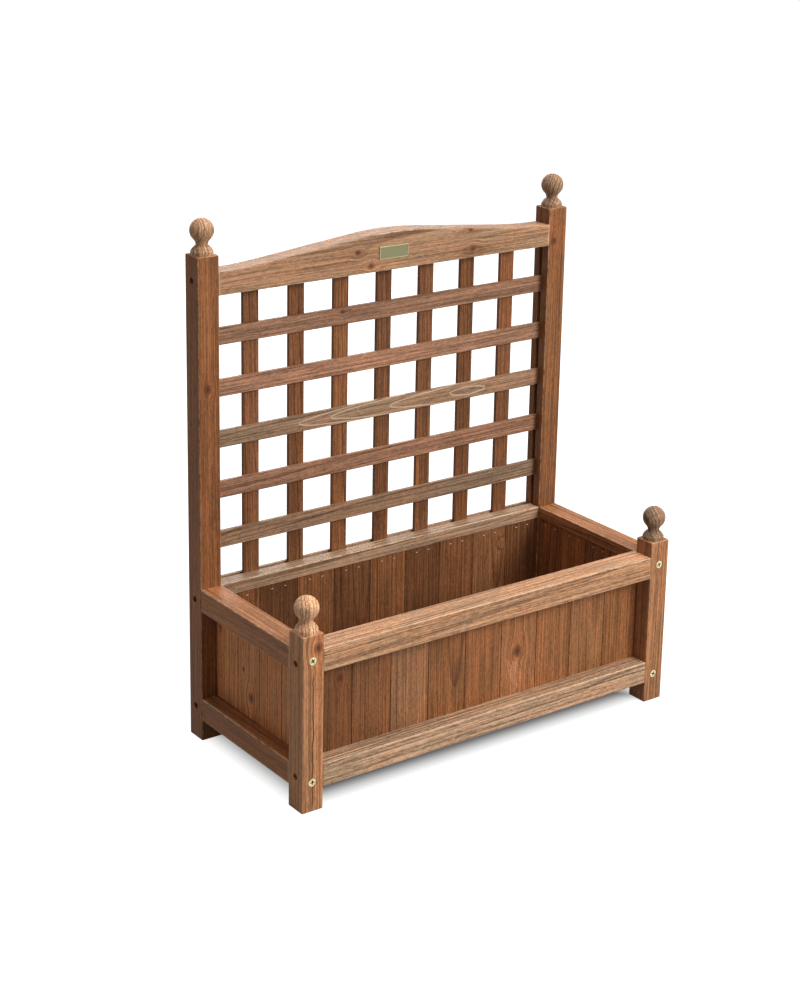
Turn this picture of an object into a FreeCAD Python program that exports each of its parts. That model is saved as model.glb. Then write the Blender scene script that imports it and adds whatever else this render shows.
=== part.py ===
import FreeCAD, Part
import os
import re
import Sketcher

# Planter with trellis: a wooden trough on four square posts, with a slatted
# trellis between the two tall rear posts and a turned ball finial on every post.
#
# Frame: millimetres, +Z up, X across the width (+X is the right-hand end seen
# from the front), +Y to the rear.  The origin is the middle of the footprint,
# on the ground.

Vector = FreeCAD.Vector
ORIGIN = Vector(0, 0, 0)
LEFT = Vector(-1, 0, 0)
RIGHT = Vector(1, 0, 0)
FRONT = Vector(0, -1, 0)
REAR = Vector(0, 1, 0)
UP = Vector(0, 0, 1)

doc = FreeCAD.newDocument("planter_with_trellis")


# ---------------------------------------------------------------- sizes

# Driving sizes: lengths in millimetres, slopes in degrees, counts as plain numbers.
SIZES = {
    # the four posts
    "overall_width": 635,
    "overall_depth": 288,
    "post_side": 33,
    "front_post_height": 250,
    "rear_post_height": 696,
    "post_easing": 1.6,
    # the rails that join the posts
    "rail_height": 33,
    "rail_easing": 1.8,
    "front_rail_depth": 37,
    "bottom_rail_base": 31,
    "top_rail_base": 195,
    "rabbet_height": 15.5,
    "front_rabbet_depth": 10,
    "side_rabbet_depth": 8,
    # the planks of the four walls
    "plank_thickness": 7,
    "plank_easing": 0.8,
    "plank_joint": 0.4,
    "plank_end_gap": 0.4,
    "front_plank_count": 9,
    "rear_plank_count": 9,
    "side_plank_count": 4,
    # the floor
    "cleat_depth": 20,
    "cleat_height": 18,
    "floor_board_thickness": 8,
    "floor_board_count": 9,
    "floor_gap": 6,
    "floor_side_gap": 3,
    "floor_end_gap": 1,
    "floor_easing": 0.8,
    # the trellis
    "slat_thickness": 6,
    "slat_easing": 0.8,
    "upright_slat_width": 25,
    "upright_slat_count": 7,
    "upright_end_gap": 0.5,
    "cross_slat_height": 24.5,
    "cross_slat_count": 5,
    "cross_end_gap": 0.4,
    "trellis_setback": 14.5,
    "groove_depth": 10,
    "dado_depth": 6,
    "slat_side_gap": 0.3,
    # the arched rail over the trellis
    "arched_rail_base": 640,
    "arched_end_height": 32,
    "arch_hollow_run": 80,
    "arch_crown_run": 54,
    "arch_slope": 6,
    # the turned finials
    "ball_radius": 16.5,
    "ball_centre_height": 32.4,
    "neck_radius": 8.3,
    "neck_height": 12.7,
    "bell_radius": 15.5,
    "bell_lip": 4.5,
    "bell_swell": 0.8,
    "tenon_radius": 6,
    "tenon_length": 20,
    "tenon_gap": 0.3,
    # the plate on the arched rail
    "plate_width": 49.4,
    "plate_height": 18.6,
    "plate_thickness": 1.4,
    "plate_border": 1.3,
    "plate_recess": 0.5,
    "plate_easing": 0.3,
    "plate_rise": 17,
    # the countersunk screws and their bores: wide heads on the faces, small ones sunk elsewhere
    "screw_length": 50,
    "screw_tip": 5,
    "screw_shank_radius": 2,
    "screw_rim": 0.5,
    "screw_gap": 0.3,
    "screw_turn": 35,
    "face_head_radius": 5.6,
    "face_head_height": 4.1,
    "face_recess_span": 6.4,
    "face_recess_width": 1.7,
    "face_recess_depth": 2.2,
    "face_screw_sink": 0.6,
    "sunk_head_radius": 4.3,
    "sunk_head_height": 2.8,
    "sunk_recess_span": 5,
    "sunk_recess_width": 1.1,
    "sunk_recess_depth": 1.6,
    "side_screw_sink": 12,
    "top_face_screw_rise": 19,
    "top_side_screw_rise": 13.5,
    "bottom_face_screw_rise": 10.8,
    "bottom_side_screw_rise": 17.2,
    "arched_screw_rise": 22,
    "cleat_screw_count": 3,
    # the brads
    "brad_length": 11,
    "brad_head_length": 2.8,
    "brad_head_height": 0.7,
    "brad_shank_width": 1.2,
    "brad_thickness": 1.3,
    "brad_spread": 22,
}

# Places and lengths that follow from the driving sizes.  The trellis places that
# start with groove_ and dado_ are measured back from the front of the rear posts.
PLACES = {
    "left_x": "-overall_width / 2",
    "right_x": "overall_width / 2",
    "front_y": "-overall_depth / 2",
    "rear_y": "overall_depth / 2",
    # the rear and right posts, and the clear spans between posts
    "rear_post_y": "rear_y - post_side",
    "right_post_x": "right_x - post_side",
    "span_x": "overall_width - 2 * post_side",
    "span_y": "overall_depth - 2 * post_side",
    "span_start_x": "left_x + post_side",
    "span_start_y": "front_y + post_side",
    "bottom_rail_top": "bottom_rail_base + rail_height",
    "top_rail_top": "top_rail_base + rail_height",
    "front_rail_back_y": "front_y + front_rail_depth",
    # the planks stand in the rabbets of the bottom rails and reach into those above
    "plank_foot_z": "bottom_rail_top - rabbet_height",
    "plank_length": "top_rail_base + rabbet_height - plank_end_gap - plank_foot_z",
    "front_plank_pitch": "span_x / front_plank_count",
    "rear_plank_pitch": "span_x / rear_plank_count",
    "side_plank_pitch": "span_y / side_plank_count",
    "front_plank_y": "front_rail_back_y - front_rabbet_depth",
    "rear_plank_y": "rear_post_y + side_rabbet_depth - plank_thickness",
    "left_plank_x": "span_start_x - side_rabbet_depth",
    "right_plank_x": "right_post_x + side_rabbet_depth - plank_thickness",
    # the floor boards lie across the cleats
    "floor_z": "bottom_rail_base + cleat_height",
    "floor_board_y": "front_rail_back_y + floor_end_gap",
    "floor_board_length": "rear_post_y - floor_end_gap - floor_board_y",
    "floor_board_pitch": "(span_x - 2 * floor_side_gap + floor_gap) / floor_board_count",
    "floor_board_width": "floor_board_pitch - floor_gap",
    # the trellis: cross slats in front, upright slats behind them
    "cross_slat_y": "rear_post_y + trellis_setback",
    "upright_slat_y": "cross_slat_y + slat_thickness",
    "dado_front": "trellis_setback - slat_side_gap",
    "dado_back": "trellis_setback + slat_thickness + slat_side_gap",
    "groove_front": "trellis_setback + slat_thickness - slat_side_gap",
    "groove_back": "trellis_setback + 2 * slat_thickness + slat_side_gap",
    "upright_foot_z": "top_rail_top - groove_depth",
    "upright_length": "arched_rail_base + groove_depth - upright_end_gap - upright_foot_z",
    "upright_space": "(span_x - upright_slat_count * upright_slat_width) / (upright_slat_count + 1)",
    "upright_pitch": "upright_slat_width + upright_space",
    "upright_start_x": "span_start_x + upright_space",
    "cross_slat_length": "span_x + 2 * (dado_depth - cross_end_gap)",
    "cross_slat_x": "span_start_x - dado_depth + cross_end_gap",
    "trellis_height": "arched_rail_base - top_rail_top",
    "cross_space": "(trellis_height - cross_slat_count * cross_slat_height) / (cross_slat_count + 1)",
    "cross_pitch": "cross_slat_height + cross_space",
    "cross_start_z": "top_rail_top + cross_space",
    # the right half of the arched rail's top edge, from the post to the crown
    "arch_half_span": "span_x / 2",
    "arch_hollow_x": "arch_half_span - arch_hollow_run",
    "arch_hollow_z": "arched_end_height + arch_hollow_run * tan(arch_slope / 2 * 1deg)",
    "arch_crown_z": "arch_hollow_z + (arch_hollow_x - arch_crown_run) * tan(arch_slope * 1deg)",
    "arch_top_z": "arch_crown_z + arch_crown_run * tan(arch_slope / 2 * 1deg)",
    "arch_hollow_radius": "arch_hollow_run / sin(arch_slope * 1deg)",
    "arch_crown_radius": "arch_crown_run / sin(arch_slope * 1deg)",
    # the finial's outline above the foot of its tenon: bell, cove and ball
    "bell_lip_z": "tenon_length + bell_lip",
    "neck_z": "tenon_length + neck_height",
    "ball_z": "tenon_length + ball_centre_height",
    "ball_top_z": "ball_z + ball_radius",
    "bell_width": "bell_radius - neck_radius",
    "bell_rise": "neck_height - bell_lip",
    "bell_chord": "sqrt(bell_width ^ 2 + bell_rise ^ 2)",
    "bell_curve": "bell_chord ^ 2 / (8 * bell_swell) + bell_swell / 2",
    "bell_centre_x": "(bell_radius + neck_radius) / 2 - (bell_curve - bell_swell) * bell_rise / bell_chord",
    "bell_centre_z": "(bell_lip_z + neck_z) / 2 - (bell_curve - bell_swell) * bell_width / bell_chord",
    "neck_drop": "ball_centre_height - neck_height",
    "cove_radius": "(neck_radius ^ 2 + neck_drop ^ 2 - ball_radius ^ 2) / (2 * (ball_radius - neck_radius))",
    "ball_share": "ball_radius / (ball_radius + cove_radius)",
    "ball_edge_x": "(neck_radius + cove_radius) * ball_share",
    "ball_edge_z": "ball_z - neck_drop * ball_share",
    # the bore of a screw is the screw's own outline with a gap all round
    "bore_shank_radius": "screw_shank_radius + screw_gap",
    "face_bore_radius": "face_head_radius + screw_gap",
    "face_bore_reach": "face_screw_sink + face_head_height",
    "sunk_bore_radius": "sunk_head_radius + screw_gap",
    "sunk_bore_reach": "side_screw_sink + sunk_head_height",
}

sizes = doc.addObject("Spreadsheet::Sheet", "Sizes")
for row, (alias, amount) in enumerate(SIZES.items(), start=1):
    sizes.set(f"A{row}", alias)
    sizes.set(f"B{row}", str(amount))
    sizes.setAlias(f"B{row}", alias)
doc.recompute()


def full_name(found):
    """A word of a formula, with the object that holds it where it is a size or a place."""
    word = found.group()
    if word in SIZES:
        return "Sizes." + word
    if word in PLACES:
        return "Places." + word
    return word


def bind(holder, prop, formula):
    """Tie a property to a formula of named sizes and places."""
    holder.setExpression(prop, re.sub(r"[a-z_]{2,}", full_name, formula))


places = doc.addObject("App::VarSet", "Places")
for place_name in PLACES:
    places.addProperty("App::PropertyFloat", place_name)
for place_name, place_formula in PLACES.items():
    bind(places, place_name, place_formula)
doc.recompute()


def number(name):
    """The present value of a size or a place, or zero."""
    if name == "0":
        return 0.0
    return getattr(sizes, name) if name in SIZES else getattr(places, name)


def count(name):
    return int(number(name))


# ---------------------------------------------------------------- drawing helpers

def new_body(label):
    return doc.addObject("PartDesign::Body", label)


def put(body, corner):
    """Tie the body's origin to three formulas."""
    for axis, formula in zip("xyz", corner):
        bind(body, f"Placement.Base.{axis}", formula)


def new_sketch(body, role, lift="0"):
    """A sketch on one of the body's own origin planes, lifted along the plane's normal."""
    plane = next(item for item in body.Origin.OriginFeatures if item.Role == role)
    sketch = body.newObject("Sketcher::SketchObject", body.Name + "_sketch")
    sketch.AttachmentSupport = [(plane, "")]
    sketch.MapMode = "FlatFace"
    bind(sketch, "AttachmentOffset.Base.z", lift)
    return sketch


def join_corners(sketch, points, corners, clockwise=()):
    """Close the edges end to end and tie each corner, as drawn so far, to its two formulas.

    A sketch numbers the ends of an arc anticlockwise, so a clockwise arc starts at its end 2.
    """
    starts = [2 if edge in clockwise else 1 for edge in range(len(corners))]
    for edge, start in enumerate(starts):
        following = (edge + 1) % len(corners)
        sketch.addConstraint(Sketcher.Constraint("Coincident", edge, 3 - start, following, starts[following]))
    for edge, (point, (across, up)) in enumerate(zip(points, corners)):
        for direction, drawn, formula in (("DistanceX", point.x, across), ("DistanceY", point.y, up)):
            tie = sketch.addConstraint(Sketcher.Constraint(direction, -1, 1, edge, starts[edge], drawn))
            bind(sketch, f"Constraints[{tie}]", formula)


def draw_polygon(sketch, corners):
    """A closed outline of straight lines, drawn roughly and pulled to its corners."""
    rough = [Vector(index, index * index, 0) for index in range(len(corners))]
    for index, start in enumerate(rough):
        sketch.addGeometry(Part.LineSegment(start, rough[(index + 1) % len(rough)]), False)
    join_corners(sketch, rough, corners)


def draw_outline(sketch, corners, arcs):
    """A closed outline with some arcs; each corner is a pair of named sizes or places.

    arcs gives, for an edge's number, the centre of its arc and the name of its radius.
    """
    points = [Vector(number(across), number(up), 0) for across, up in corners]
    clockwise = []
    for index, start in enumerate(points):
        end = points[(index + 1) % len(points)]
        if index not in arcs:
            sketch.addGeometry(Part.LineSegment(start, end), False)
            continue
        centre = arcs[index][0]
        if (start - centre).cross(end - centre).z < 0:
            clockwise.append(index)
        bulge = ((start + end) / 2 - centre).normalize() * (start - centre).Length
        sketch.addGeometry(Part.Arc(start, centre + bulge, end), False)
    join_corners(sketch, points, corners, clockwise)
    for index, (centre, radius_name) in arcs.items():
        tie = sketch.addConstraint(Sketcher.Constraint("Radius", index, number(radius_name)))
        bind(sketch, f"Constraints[{tie}]", radius_name)


def draw_rectangle(sketch, low, high):
    draw_polygon(sketch, [low, (high[0], low[1]), high, (low[0], high[1])])


def pad(body, sketch, length, symmetric=False):
    feature = body.newObject("PartDesign::Pad", body.Name + "_pad")
    feature.Profile = sketch
    feature.SideType = "Symmetric" if symmetric else "One side"
    bind(feature, "Length", length)
    return feature


def pocket(body, sketch, depth=None):
    """Cut the sketch's outline away, to a depth on both sides of its plane or right through."""
    feature = body.newObject("PartDesign::Pocket", body.Name + "_pocket")
    feature.Profile = sketch
    feature.SideType = "Symmetric"
    if depth is None:
        feature.Type = "ThroughAll"
    else:
        bind(feature, "Length", f"2 * ({depth})")
    return feature


def revolve(body, sketch):
    feature = body.newObject("PartDesign::Revolution", body.Name + "_turning")
    feature.Profile = sketch
    feature.ReferenceAxis = (sketch, ["V_Axis"])
    feature.Angle = 360
    return feature


def ease(body, radius, feature, edges=None):
    """Round the edges of a feature: the named ones, or all of them."""
    rounding = body.newObject("PartDesign::Fillet", body.Name + "_easing")
    rounding.Base = (feature, edges or ["Edge1"])
    rounding.UseAllEdges = edges is None
    bind(rounding, "Radius", radius)
    return rounding


def block(label, extent, corner, easing):
    """A stick, board or plate with all of its edges eased, its low corner at the body's origin."""
    body = new_body(label)
    sketch = new_sketch(body, "XY_Plane")
    draw_rectangle(sketch, ("0", "0"), (extent[0], extent[1]))
    ease(body, easing, pad(body, sketch, extent[2]))
    put(body, corner)
    return body


def trench(body, role, low, high):
    """A rabbet or a groove along the whole piece, square to the given plane."""
    sketch = new_sketch(body, role)
    draw_rectangle(sketch, low, high)
    pocket(body, sketch)


# ---------------------------------------------------------------- posts and finials

wood = {}       # wooden pieces that the screws and brads enter, by label
sub_parts = {}  # finished sub-parts, by label

CORNERS = {
    "front_left": ("left_x", "front_y", "front_post_height"),
    "front_right": ("right_post_x", "front_y", "front_post_height"),
    "rear_left": ("left_x", "rear_post_y", "rear_post_height"),
    "rear_right": ("right_post_x", "rear_post_y", "rear_post_height"),
}


def make_post(corner_name):
    """A square post with a round hole in its top for the finial's tenon."""
    x, y, height = CORNERS[corner_name]
    body = block(corner_name + "_post", ("post_side", "post_side", height), (x, y, "0"), "post_easing")
    hole = new_sketch(body, "XY_Plane", lift=height)
    hole.addGeometry(Part.Circle(ORIGIN, UP, number("tenon_radius")), False)
    for direction in ("DistanceX", "DistanceY"):
        tie = hole.addConstraint(Sketcher.Constraint(direction, -1, 1, 0, 3, 0.0))
        bind(hole, f"Constraints[{tie}]", "post_side / 2")
    tie = hole.addConstraint(Sketcher.Constraint("Radius", 0, number("tenon_radius")))
    bind(hole, f"Constraints[{tie}]", "tenon_radius + tenon_gap")
    pocket(body, hole, "tenon_length + tenon_gap")
    return body


def cut_dado(body, inner_face):
    """The upright groove in a rear post's inner face that houses the cross slats' ends."""
    sketch = new_sketch(body, "YZ_Plane", lift=inner_face)
    draw_rectangle(sketch, ("dado_front", "top_rail_top"), ("dado_back", "arched_rail_base"))
    pocket(body, sketch, "dado_depth")


for corner_name in CORNERS:
    wood[corner_name + "_post"] = make_post(corner_name)
cut_dado(wood["rear_left_post"], "post_side")
cut_dado(wood["rear_right_post"], "0")


def make_finial(corner_name):
    """A ball on a bell-shaped foot with a cove between them and a tenon below, turned in one piece.

    The profile climbs the outside: tenon, underside of the bell, lip, bell (an arc that
    swells a little over the straight line from the lip to the neck), cove (an arc that
    leaves the neck upright and runs smoothly into the ball), ball, and back down the axis.
    """
    x, y, height = CORNERS[corner_name]
    body = new_body(corner_name + "_finial")
    sketch = new_sketch(body, "XZ_Plane")
    corners = [
        ("0", "0"),
        ("tenon_radius", "0"),
        ("tenon_radius", "tenon_length"),
        ("bell_radius", "tenon_length"),
        ("bell_radius", "bell_lip_z"),
        ("neck_radius", "neck_z"),
        ("ball_edge_x", "ball_edge_z"),
        ("0", "ball_top_z"),
    ]
    bell_centre = Vector(number("bell_centre_x"), number("bell_centre_z"), 0)
    cove_centre = Vector(number("neck_radius") + number("cove_radius"), number("neck_z"), 0)
    ball_centre = Vector(0, number("ball_z"), 0)
    arcs = {
        4: (bell_centre, "bell_curve"),
        5: (cove_centre, "cove_radius"),
        6: (ball_centre, "ball_radius"),
    }
    draw_outline(sketch, corners, arcs)
    revolve(body, sketch)
    put(body, (x + " + post_side / 2", y + " + post_side / 2", height + " - tenon_length"))
    return body


for corner_name in CORNERS:
    sub_parts[corner_name + "_finial"] = make_finial(corner_name)


# ---------------------------------------------------------------- rails

def make_long_rail(label, depth, corner, rabbet_front, rabbet_back, rabbet_low, rabbet_high):
    """A rail between the left and the right post, rabbeted along one inner edge."""
    body = block(label, ("span_x", depth, "rail_height"), corner, "rail_easing")
    trench(body, "YZ_Plane", (rabbet_front, rabbet_low), (rabbet_back, rabbet_high))
    return body


def make_side_rail(label, corner, rabbet_left, rabbet_right, rabbet_low, rabbet_high):
    """A rail between the front and the rear post, rabbeted along one inner edge."""
    body = block(label, ("post_side", "span_y", "rail_height"), corner, "rail_easing")
    trench(body, "XZ_Plane", (rabbet_left, rabbet_low), (rabbet_right, rabbet_high))
    return body


# The rabbet is in the upper edge of a bottom rail and in the lower edge of a top rail.
LEVELS = {
    "bottom": ("bottom_rail_base", "rail_height - rabbet_height", "rail_height"),
    "top": ("top_rail_base", "0", "rabbet_height"),
}

for level, (base, low, high) in LEVELS.items():
    wood[f"front_{level}_rail"] = make_long_rail(
        f"front_{level}_rail", "front_rail_depth", ("span_start_x", "front_y", base),
        "front_rail_depth - front_rabbet_depth", "front_rail_depth", low, high)
    wood[f"rear_{level}_rail"] = make_long_rail(
        f"rear_{level}_rail", "post_side", ("span_start_x", "rear_post_y", base),
        "0", "side_rabbet_depth", low, high)
    wood[f"left_{level}_rail"] = make_side_rail(
        f"left_{level}_rail", ("left_x", "span_start_y", base),
        "post_side - side_rabbet_depth", "post_side", low, high)
    wood[f"right_{level}_rail"] = make_side_rail(
        f"right_{level}_rail", ("right_post_x", "span_start_y", base),
        "0", "side_rabbet_depth", low, high)

# The groove in the top of the rear rail that the upright slats stand in.
trench(wood["rear_top_rail"], "YZ_Plane",
       ("groove_front", "rail_height - groove_depth"), ("groove_back", "rail_height"))


def long_edges(shape):
    """The edges round the front and the rear face of a rail, without the upright ones at its ends."""
    box = shape.BoundBox
    names = []
    for index, edge in enumerate(shape.Edges, start=1):
        reach = edge.BoundBox
        runs_across = reach.XLength > 1
        lies_in_face = reach.YLength < 0.01 and min(reach.YMin - box.YMin, box.YMax - reach.YMax) < 0.01
        if runs_across and lies_in_face:
            names.append(f"Edge{index}")
    return names


def make_arched_rail():
    """The rail over the trellis: level at the posts, sweeping up to a low crown.

    Half of its outline: an arc that starts level at the post (hollow), a straight slope
    and an arc that ends level on the middle line (crown); the other half is mirrored.
    """
    body = new_body("arched_top_rail")
    sketch = new_sketch(body, "XZ_Plane")
    corners = [
        ("0", "0"),
        ("arch_half_span", "0"),
        ("arch_half_span", "arched_end_height"),
        ("arch_hollow_x", "arch_hollow_z"),
        ("arch_crown_run", "arch_crown_z"),
        ("0", "arch_top_z"),
    ]
    hollow_centre = Vector(
        number("arch_half_span"), number("arched_end_height") + number("arch_hollow_radius"), 0)
    crown_centre = Vector(0, number("arch_top_z") - number("arch_crown_radius"), 0)
    arcs = {
        2: (hollow_centre, "arch_hollow_radius"),
        4: (crown_centre, "arch_crown_radius"),
    }
    draw_outline(sketch, corners, arcs)
    half = pad(body, sketch, "post_side", symmetric=True)
    mirrored = body.newObject("PartDesign::Mirrored", "arched_top_rail_mirrored")
    mirrored.Originals = [half]
    middle = next(item for item in body.Origin.OriginFeatures if item.Role == "YZ_Plane")
    mirrored.MirrorPlane = (middle, [""])
    body.Tip = mirrored
    doc.recompute()
    ease(body, "rail_easing", mirrored, long_edges(mirrored.Shape))
    trench(body, "YZ_Plane",
           ("groove_front - post_side / 2", "0"), ("groove_back - post_side / 2", "groove_depth"))
    put(body, ("0", "rear_post_y + post_side / 2", "arched_rail_base"))
    return body


wood["arched_top_rail"] = make_arched_rail()


# ---------------------------------------------------------------- wall planks

def make_long_plank(wall, index, depth_place):
    pitch = wall + "_plank_pitch"
    return block(
        f"{wall}_plank_{index + 1}",
        (pitch + " - plank_joint", "plank_thickness", "plank_length"),
        (f"span_start_x + {index} * {pitch} + plank_joint / 2", depth_place, "plank_foot_z"),
        "plank_easing")


def make_side_plank(wall, index, width_place):
    return block(
        f"{wall}_plank_{index + 1}",
        ("plank_thickness", "side_plank_pitch - plank_joint", "plank_length"),
        (width_place, f"span_start_y + {index} * side_plank_pitch + plank_joint / 2", "plank_foot_z"),
        "plank_easing")


for wall in ("front", "rear"):
    for index in range(count(wall + "_plank_count")):
        wood[f"{wall}_plank_{index + 1}"] = make_long_plank(wall, index, wall + "_plank_y")

for wall in ("left", "right"):
    for index in range(count("side_plank_count")):
        wood[f"{wall}_plank_{index + 1}"] = make_side_plank(wall, index, wall + "_plank_x")


# ---------------------------------------------------------------- trellis slats

for index in range(count("upright_slat_count")):
    label = f"trellis_upright_{index + 1}"
    wood[label] = block(
        label, ("upright_slat_width", "slat_thickness", "upright_length"),
        (f"upright_start_x + {index} * upright_pitch", "upright_slat_y", "upright_foot_z"),
        "slat_easing")

for index in range(count("cross_slat_count")):
    label = f"trellis_cross_slat_{index + 1}"
    wood[label] = block(
        label, ("cross_slat_length", "slat_thickness", "cross_slat_height"),
        ("cross_slat_x", "cross_slat_y", f"cross_start_z + {index} * cross_pitch"),
        "slat_easing")


# ---------------------------------------------------------------- floor

CLEATS = {
    "front_cleat": "front_rail_back_y",
    "rear_cleat": "rear_post_y - cleat_depth",
}
cleats = [
    block(label, ("span_x", "cleat_depth", "cleat_height"),
          ("span_start_x", cleat_y, "bottom_rail_base"), "floor_easing")
    for label, cleat_y in CLEATS.items()
]
floor_boards = [
    block(f"floor_board_{index + 1}",
          ("floor_board_width", "floor_board_length", "floor_board_thickness"),
          (f"span_start_x + floor_side_gap + {index} * floor_board_pitch", "floor_board_y", "floor_z"),
          "floor_easing")
    for index in range(count("floor_board_count"))
]


def make_group(label, pieces):
    """Several separate solids under one label."""
    group = doc.addObject("Part::Compound", label)
    group.Links = pieces
    return group


wood["floor_cleats"] = make_group("floor_cleats", cleats)
wood["floor_boards"] = make_group("floor_boards", floor_boards)


# ---------------------------------------------------------------- name plate

def make_plate():
    """A thin plate with a raised border round a bare sunken field, on the arched rail's front."""
    body = block(
        "name_plate", ("plate_width", "plate_thickness", "plate_height"),
        ("-plate_width / 2", "rear_post_y - plate_thickness", "arched_rail_base + plate_rise"),
        "plate_easing")
    field = new_sketch(body, "XZ_Plane")
    draw_rectangle(field, ("plate_border", "plate_border"),
                   ("plate_width - plate_border", "plate_height - plate_border"))
    pocket(body, field, "plate_recess")
    return body


sub_parts["name_plate"] = make_plate()


# ---------------------------------------------------------------- screws

def make_screw(kind):
    """One countersunk screw: head at the origin facing +Z, with a cross recess."""
    body = new_body(kind + "_screw")
    sketch = new_sketch(body, "XZ_Plane")
    draw_polygon(sketch, [
        ("0", "0"),
        (kind + "_head_radius", "0"),
        (kind + "_head_radius", "-screw_rim"),
        ("screw_shank_radius", f"-{kind}_head_height"),
        ("screw_shank_radius", "screw_tip - screw_length"),
        ("0", "-screw_length"),
    ])
    revolve(body, sketch)
    span = kind + "_recess_span"
    width = kind + "_recess_width"
    for span_x, span_y in ((span, width), (width, span)):
        slot = new_sketch(body, "XY_Plane")
        draw_rectangle(slot, (f"-{span_x} / 2", f"-{span_y} / 2"), (f"{span_x} / 2", f"{span_y} / 2"))
        pocket(body, slot, kind + "_recess_depth")
    return body


def make_bore(kind):
    """The hole for one screw: its counterbore, countersink and pilot hole."""
    body = new_body(kind + "_bore")
    sketch = new_sketch(body, "XZ_Plane")
    draw_polygon(sketch, [
        ("0", kind + "_bore_reach"),
        (kind + "_bore_radius", kind + "_bore_reach"),
        (kind + "_bore_radius", "-screw_rim"),
        ("bore_shank_radius", f"-{kind}_head_height"),
        ("bore_shank_radius", "-screw_length"),
        ("0", "-screw_length"),
    ])
    revolve(body, sketch)
    return body


SCREW_KINDS = ("face", "sunk")
screw_patterns = {kind: make_screw(kind) for kind in SCREW_KINDS}
bore_patterns = {kind: make_bore(kind) for kind in SCREW_KINDS}


def post_centre(side_place):
    return number(side_place) + number("post_side") / 2


def side_screw_places():
    """Screws through the posts' outer sides into the ends of the front, rear and arched rails."""
    bottom = number("bottom_rail_base") + number("bottom_side_screw_rise")
    top = number("top_rail_base") + number("top_side_screw_rise")
    arched = number("arched_rail_base") + number("arched_screw_rise")
    heights = {"front_y": (bottom, top), "rear_post_y": (bottom, top, arched)}
    sink = number("side_screw_sink")
    for side_place, outward in (("left_x", LEFT), ("right_x", RIGHT)):
        for post_place, levels in heights.items():
            for level in levels:
                face = Vector(number(side_place), post_centre(post_place), level)
                yield face - outward * sink, outward


def face_screw_places():
    """Screws through the posts' front and rear faces into the ends of the side rails."""
    bottom = number("bottom_rail_base") + number("bottom_face_screw_rise")
    top = number("top_rail_base") + number("top_face_screw_rise")
    sink = number("face_screw_sink")
    for face_place, outward in (("front_y", FRONT), ("rear_y", REAR)):
        for post_place in ("left_x", "right_post_x"):
            for level in (bottom, top):
                face = Vector(post_centre(post_place), number(face_place), level)
                yield face - outward * sink, outward


def cleat_screw_places():
    """Screws through the cleats into the bottom rails, evenly spaced."""
    total = count("cleat_screw_count")
    level = number("bottom_rail_base") + number("cleat_height") / 2
    rows = (
        (number("front_rail_back_y") + number("cleat_depth"), REAR),
        (number("rear_post_y") - number("cleat_depth"), FRONT),
    )
    for cleat_face_y, outward in rows:
        for index in range(total):
            x = number("span_start_x") + number("span_x") * (index + 0.5) / total
            yield Vector(x, cleat_face_y, level), outward


def copies(pattern, placements):
    """Separate copies of one pattern solid, each at its own placement."""
    solid = pattern.Shape.Solids[0]
    return [solid.transformed(placement.Matrix, copy=True) for placement in placements]


def set_group(label, solids):
    """A sub-part of separate identical solids."""
    group = doc.addObject("Part::Feature", label)
    group.Shape = Part.makeCompound(solids)
    group.Placement = FreeCAD.Placement()
    return group


def screw_placements(places):
    """Each screw faces outward and stops a step further round than the one before it."""
    for index, (head, outward) in enumerate(places):
        turn = FreeCAD.Rotation(UP, index * number("screw_turn"))
        yield FreeCAD.Placement(head, FreeCAD.Rotation(UP, outward) * turn)


doc.recompute()
SCREW_ROWS = (
    ("sunk", side_screw_places),
    ("face", face_screw_places),
    ("sunk", cleat_screw_places),
)
screws = []
screw_bores = []
for kind, places_of in SCREW_ROWS:
    placements = list(screw_placements(places_of()))
    screws += copies(screw_patterns[kind], placements)
    screw_bores += copies(bore_patterns[kind], placements)
sub_parts["frame_screws"] = set_group("frame_screws", screws)


# ---------------------------------------------------------------- brads

def make_brad():
    """One brad driven flush: a T of flat wire, the top of its head at the origin, head along X."""
    body = new_body("brad")
    sketch = new_sketch(body, "XZ_Plane")
    head = "brad_head_length / 2"
    shank = "brad_shank_width / 2"
    draw_polygon(sketch, [
        (f"-{head}", "0"),
        (f"-{head}", "-brad_head_height"),
        (f"-{shank}", "-brad_head_height"),
        (f"-{shank}", "-brad_length"),
        (shank, "-brad_length"),
        (shank, "-brad_head_height"),
        (head, "-brad_head_height"),
        (head, "0"),
    ])
    pad(body, sketch, "brad_thickness", symmetric=True)
    return body


brad = make_brad()


def pair(middle):
    """Two places, one on each side of a middle line."""
    return middle - number("brad_spread") / 2, middle + number("brad_spread") / 2


def rabbet_levels():
    """The heights halfway up the lower and the upper rabbets."""
    return (
        number("plank_foot_z") + number("rabbet_height") / 2,
        number("top_rail_base") + number("rabbet_height") / 2,
    )


def wall_brad_places():
    """Two brads at each end of every plank, driven from inside the trough."""
    long_walls = (
        ("front", number("front_plank_y") + number("plank_thickness"), REAR),
        ("rear", number("rear_plank_y"), FRONT),
    )
    for wall, face_y, outward in long_walls:
        for index in range(count(wall + "_plank_count")):
            middle = number("span_start_x") + number(wall + "_plank_pitch") * (index + 0.5)
            for x in pair(middle):
                for level in rabbet_levels():
                    yield Vector(x, face_y, level), RIGHT, outward
    side_walls = (
        (number("left_plank_x") + number("plank_thickness"), RIGHT),
        (number("right_plank_x"), LEFT),
    )
    for face_x, outward in side_walls:
        for index in range(count("side_plank_count")):
            middle = number("span_start_y") + number("side_plank_pitch") * (index + 0.5)
            for y in pair(middle):
                for level in rabbet_levels():
                    yield Vector(face_x, y, level), REAR, outward


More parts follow.
